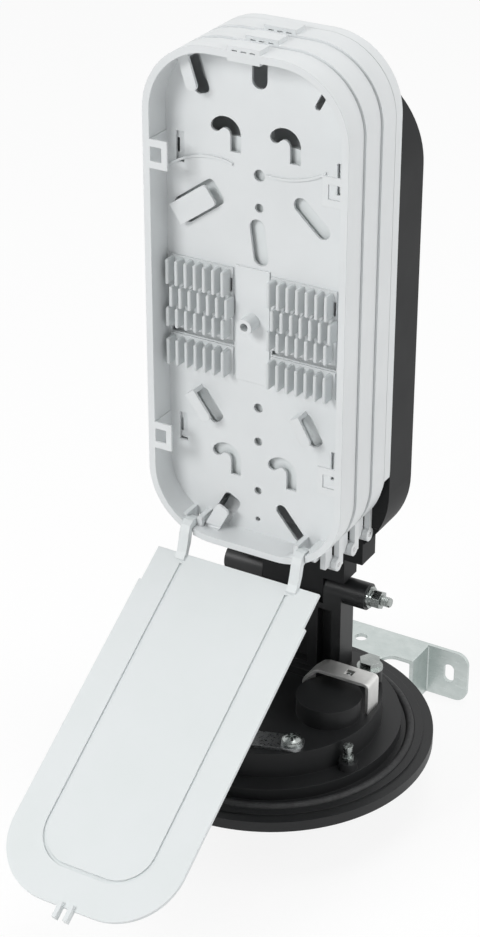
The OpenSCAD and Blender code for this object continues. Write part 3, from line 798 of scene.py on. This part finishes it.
@dataclass(frozen=True)
class SpliceComb:
    """A soft comb for splice sleeves: a lower and an upper pad with rows of ribs, in mm.

    It is drawn with its lower left corner at the origin and the tray's floor at y = 0.
    """

    rib_count: int = 7
    rib_pitch: float = 5.7
    rib_t: float = 2.1
    rib_h: float = 8.0
    rib_inset: float = 0.6
    rib_root: float = 0.4
    foot_spread: float = 1.3
    rounding: float = 0.9
    rounding_steps: int = 3
    width: float = 38.9
    pad_t: float = 1.2
    # Lower and upper end of each pad.
    lower_pad: tuple[float, float] = (0.0, 16.5)
    upper_pad: tuple[float, float] = (20.5, 63.0)
    # Left, right, lower and upper side of the window in the upper pad.
    pad_hole: tuple[float, float, float, float] = (36.7, 38.6, 49.0, 57.0)
    # Lower end, length and shift to the right of each row.
    rows: tuple[Point, ...] = (
        (0.0, 15.5, 0.0),
        (22.6, 11.6, 0.0),
        (34.7, 12.0, 2.28),
        (47.6, 14.6, 0.0),
    )

    def build(self, work: bmesh.types.BMesh) -> None:
        """Add the pads and the ribs.

        Args:
            work: An empty bmesh.
        """
        x0, x1, z0, z1 = self.pad_hole
        self._pad(work, self.upper_pad)
        window(work, Vector((x0, 0, z0)) * MM, Vector((x1, 0, z1)) * MM)
        self._pad(work, self.lower_pad)
        for bottom, length, shift in self.rows:
            for i in range(self.rib_count):
                self._rib(work, i * self.rib_pitch + self.rib_inset + shift, bottom, length)

    def _pad(self, work: bmesh.types.BMesh, ends: tuple[float, float]) -> None:
        """Add a pad between two heights."""
        block(work, (0, -self.pad_t, ends[0]), (self.width, 0, ends[1]))

    def _rib(self, work: bmesh.types.BMesh, x: float, z: float, length: float) -> None:
        """Add one rib, its tip rounded and its foot a little wider.

        Args:
            work: The comb's bmesh.
            x: The rib's left side.
            z: Its lower end.
            length: Its length.
        """
        root = self.rib_root - self.pad_t
        verts = block(work, (x, -self.rib_h, z), (x + self.rib_t, root, z + length))
        foot = [vert for vert in verts if vert.co.y > -self.pad_t * MM]
        centre = Matrix.Translation((-(x + self.rib_t / 2) * MM, 0, 0))
        bmesh.ops.scale(work, vec=(self.foot_spread, 1, 1), space=centre, verts=foot)
        edges = edges_of(verts)
        tip = [edge for edge in edges if not any(vert in foot for vert in edge.verts)]
        upright = [edge for edge in edges if sum(vert in foot for vert in edge.verts) == 1]
        soften(work, tip + upright, self.rounding, self.rounding_steps)


@dataclass
class TrayRack(SubAssembly):
    """The carrier, the hinge plate and the three trays with their holders, lids and pins."""

    tray_count: int = 3
    tray_pitch: float = 18.6
    tray_z: float = 175.4
    front_rim: float = -32.0
    floor_depth: float = 16.7
    retainer: WideRetainer = WideRetainer()
    comb: SpliceComb = SpliceComb()
    comb_shift: float = 62.0

    def __post_init__(self) -> None:
        """List the nodes of the rack with their finishes."""
        self.nodes = {
            "carrier": Finish.CARRIER,
            "hinge_plate": Finish.TRAY,
            "hinge_plate_screws": Finish.BOLT,
        }
        for n in range(1, self.tray_count + 1):
            self.nodes[f"tray_{n}"] = Finish.TRAY
            self.nodes[f"splice_holders_{n}"] = Finish.HOLDER
            self.nodes[f"lid_{n}"] = Finish.LID
            self.nodes[f"lid_pins_{n}"] = Finish.PIN
            self.nodes[f"tray_pins_{n}"] = Finish.PIN

    def build(self, frame: dict[str, Any]) -> None:
        """Make each tray with its wide retainer low, and its soft splice holders.
        """
        for n in range(1, self.tray_count + 1):
            tray = self._tray(frame["nodes"][f"tray_{n}"], n)
            self.place(tray, f"tray_{n}", "tray_white", Finish.TRAY, f"tray_{n}")
            holders = self._holders(n)
            self.place(holders, f"tray_{n}", "holder_grey", Finish.HOLDER, f"splice_holders_{n}")

    def _tray(self, node: bpy.types.Object, n: int) -> bpy.types.Object:
        """Copy a tray with its wide retainer lowered.

        Args:
            node: The tray's CAD node, which stays as it is.
            n: The tray's number, counted from the front.

        Returns:
            The copy.
        """
        work = merged_copy(node)
        floor_y = self.front_rim + (n - 1) * self.tray_pitch + self.floor_depth
        moved = self.retainer.lower(work, floor_y, self.tray_z)
        LOG.info("tray %d: %d corners of the wide retainer lowered", n, moved)
        return new_piece(f"splice_tray_{n}", work)

    def _holders(self, n: int) -> bpy.types.Object:
        """Build the two combs of a tray.

        Args:
            n: The tray's number.

        Returns:
            Both combs in one piece.
        """
        low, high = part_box(f"splice_holders_{n}")
        work = bmesh.new()
        self.comb.build(work)
        twin = bmesh.ops.duplicate(work, geom=[*work.verts, *work.edges, *work.faces])["geom"]
        moved = [part for part in twin if isinstance(part, bmesh.types.BMVert)]
        bmesh.ops.translate(work, vec=(self.comb_shift * MM, 0, 0), verts=moved)
        bmesh.ops.translate(work, vec=(low[0], high[1], low[2]), verts=work.verts)
        return new_piece(f"soft_splice_holders_{n}", work)


@dataclass(frozen=True)
class SoftLamp:
    """A square soft lamp: its place and its side in metres, and its power in watts."""

    name: str
    place: Point
    side: float
    power: float


@dataclass
class Studio:
    """Pale floor, soft lamps, white surroundings and the camera of the photograph.

    Lengths are in metres but for the lens and the film. A strength of 1 renders as white.
    """

    eye: Point = (0.5512, -0.9913, 0.8416)
    target: Point = (-0.01524, -0.00879, 0.21313)
    lens_mm: float = 89.58
    film_mm: float = 36.0
    clip_end: float = 50.0
    floor_half: float = 6.0
    paper: str = "#F2F2F2"
    paper_glow: float = 1.03
    # Share of the glow in the floor that the camera sees; the rest shows the object's shadow.
    glow_share: float = 0.85
    sky: str = "#FFFFFF"
    sky_seen: float = 1.0
    sky_as_light: float = 0.3
    lamps: tuple[SoftLamp, ...] = (
        SoftLamp("key_softbox", (-0.9, -2.1, 1.6), 1.0, 34.0),
        SoftLamp("side_softbox", (2.1, 0.5, 1.2), 1.4, 18.5),
        SoftLamp("top_softbox", (0.1, 0.2, 2.6), 1.4, 18.0),
    )
    lamp_target: Point = (0.0, 0.0, 0.22)

    def build(self) -> None:
        """Make the floor, the world, the lamps and the camera."""
        self._floor()
        self._world()
        for lamp in self.lamps:
            self._lamp(lamp)
        self._camera()
        LOG.info("studio built")

    def _seen_rays(self, tree: bpy.types.NodeTree) -> bpy.types.NodeSocket:
        """Add a factor that is 1 for camera, glossy and transmission rays.

        Args:
            tree: The node tree to add to.

        Returns:
            The factor, which is 0 for the rays that light the object.
        """
        path = add_node(tree, "ShaderNodeLightPath")
        first = add_node(
            tree,
            "ShaderNodeMath",
            {"operation": "MAXIMUM"},
            {0: path.outputs["Is Camera Ray"], 1: path.outputs["Is Glossy Ray"]},
        )
        both = add_node(
            tree,
            "ShaderNodeMath",
            {"operation": "MAXIMUM"},
            {0: first.outputs[0], 1: path.outputs["Is Transmission Ray"]},
        )
        return both.outputs[0]

    def _floor(self) -> None:
        """Make the floor of studio paper, white but for the object's soft shadow."""
        mesh = bpy.data.meshes.new("studio_floor")
        work = bmesh.new()
        bmesh.ops.create_grid(work, x_segments=1, y_segments=1, size=self.floor_half)
        work.to_mesh(mesh)
        work.free()
        floor = bpy.data.objects.new("studio_floor", mesh)
        bpy.context.scene.collection.objects.link(floor)
        material = bpy.data.materials.new("studio_paper")
        material.use_nodes = True
        tree = material.node_tree
        tree.nodes.clear()
        paper = add_node(tree, "ShaderNodeBsdfDiffuse", inputs={"Color": hex_rgb(self.paper)})
        glow = add_node(tree, "ShaderNodeEmission", inputs={"Strength": self.paper_glow})
        share = add_node(
            tree,
            "ShaderNodeMath",
            {"operation": "MULTIPLY"},
            {0: self._seen_rays(tree), 1: self.glow_share},
        )
        mix = add_node(
            tree,
            "ShaderNodeMixShader",
            inputs={0: share.outputs[0], 1: paper.outputs[0], 2: glow.outputs[0]},
        )
        add_node(tree, "ShaderNodeOutputMaterial", inputs={"Surface": mix.outputs[0]})
        floor.data.materials.append(material)

    def _world(self) -> None:
        """Make the world: white to the camera, softer as a light."""
        world = bpy.data.worlds.new("studio_world")
        bpy.context.scene.world = world
        world.use_nodes = True
        tree = world.node_tree
        tree.nodes.clear()
        strength = add_node(
            tree,
            "ShaderNodeMapRange",
            inputs={
                "Value": self._seen_rays(tree),
                "To Min": self.sky_as_light,
                "To Max": self.sky_seen,
            },
        )
        sky = add_node(
            tree,
            "ShaderNodeBackground",
            inputs={"Color": hex_rgb(self.sky), "Strength": strength.outputs[0]},
        )
        add_node(tree, "ShaderNodeOutputWorld", inputs={"Surface": sky.outputs[0]})

    def _lamp(self, lamp: SoftLamp) -> None:
        """Add a soft lamp that points at the closure.

        Args:
            lamp: The lamp.
        """
        light = bpy.data.lights.new(lamp.name, "AREA")
        light.shape = "SQUARE"
        light.size = lamp.side
        light.energy = lamp.power
        holder = bpy.data.objects.new(lamp.name, light)
        holder.location = lamp.place
        aim = Vector(self.lamp_target) - Vector(lamp.place)
        holder.rotation_euler = aim.to_track_quat("-Z", "Y").to_euler()
        bpy.context.scene.collection.objects.link(holder)

    def _camera(self) -> None:
        """Set the camera where the photograph was taken from."""
        data = bpy.data.cameras.new("photo_camera")
        data.sensor_fit = "VERTICAL"
        data.sensor_height = self.film_mm
        data.sensor_width = self.film_mm
        data.lens = self.lens_mm
        data.clip_end = self.clip_end
        camera = bpy.data.objects.new("photo_camera", data)
        camera.location = self.eye
        aim = Vector(self.target) - Vector(self.eye)
        camera.rotation_euler = aim.to_track_quat("-Z", "Y").to_euler()
        bpy.context.scene.collection.objects.link(camera)
        bpy.context.scene.camera = camera


def main() -> None:
    """Build the closure's looks."""
    logging.basicConfig(level=logging.INFO, format="%(name)s: %(message)s")
    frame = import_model()
    bpy.context.scene.view_settings.view_transform = "Standard"
    shelf = FinishShelf()
    for part in (Base(shelf), WallBracket(shelf), TrayRack(shelf)):
        part.dress_nodes(frame)
        part.build(frame)
    Studio().build()


if __name__ == "__main__":
    main()
